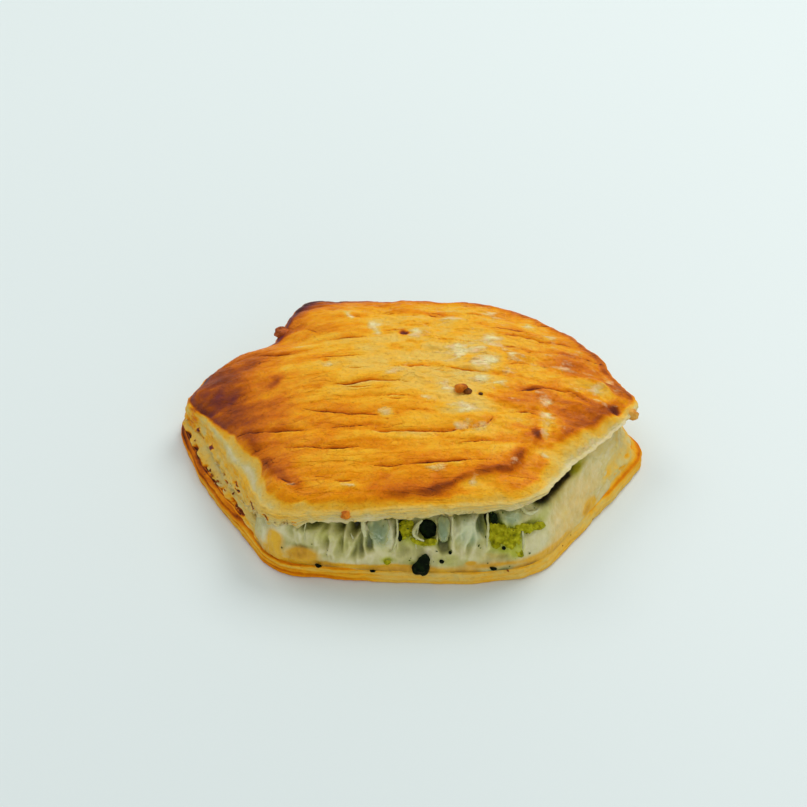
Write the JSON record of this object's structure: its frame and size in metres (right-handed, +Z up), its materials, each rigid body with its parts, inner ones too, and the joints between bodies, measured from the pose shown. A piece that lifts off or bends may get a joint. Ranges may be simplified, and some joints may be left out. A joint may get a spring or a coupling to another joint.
{
  "type": "filled puff pastry",
  "caption": "Six-cornered puff pastry with a domed, scored golden lid over a flat bottom crust, parted along the front to show its spinach filling.",
  "frame": {"origin": "middle of the flat underside", "axes": "+Z up, +X towards the right-hand tip, -Y towards the open front that shows the filling"},
  "size_m": [0.1344, 0.1038, 0.03],
  "materials": {
    "bottom_crust": "matte baked dough, pale with browned edges",
    "spinach_filling": "moist cooked spinach in soft dough",
    "golden_crust": "egg-glazed baked puff pastry, slightly glossy"
  },
  "bodies": {
    "root": {"bottom_pastry": "bottom_crust", "filling": "spinach_filling", "top_pastry": "golden_crust"}
  },
  "joints": []
}
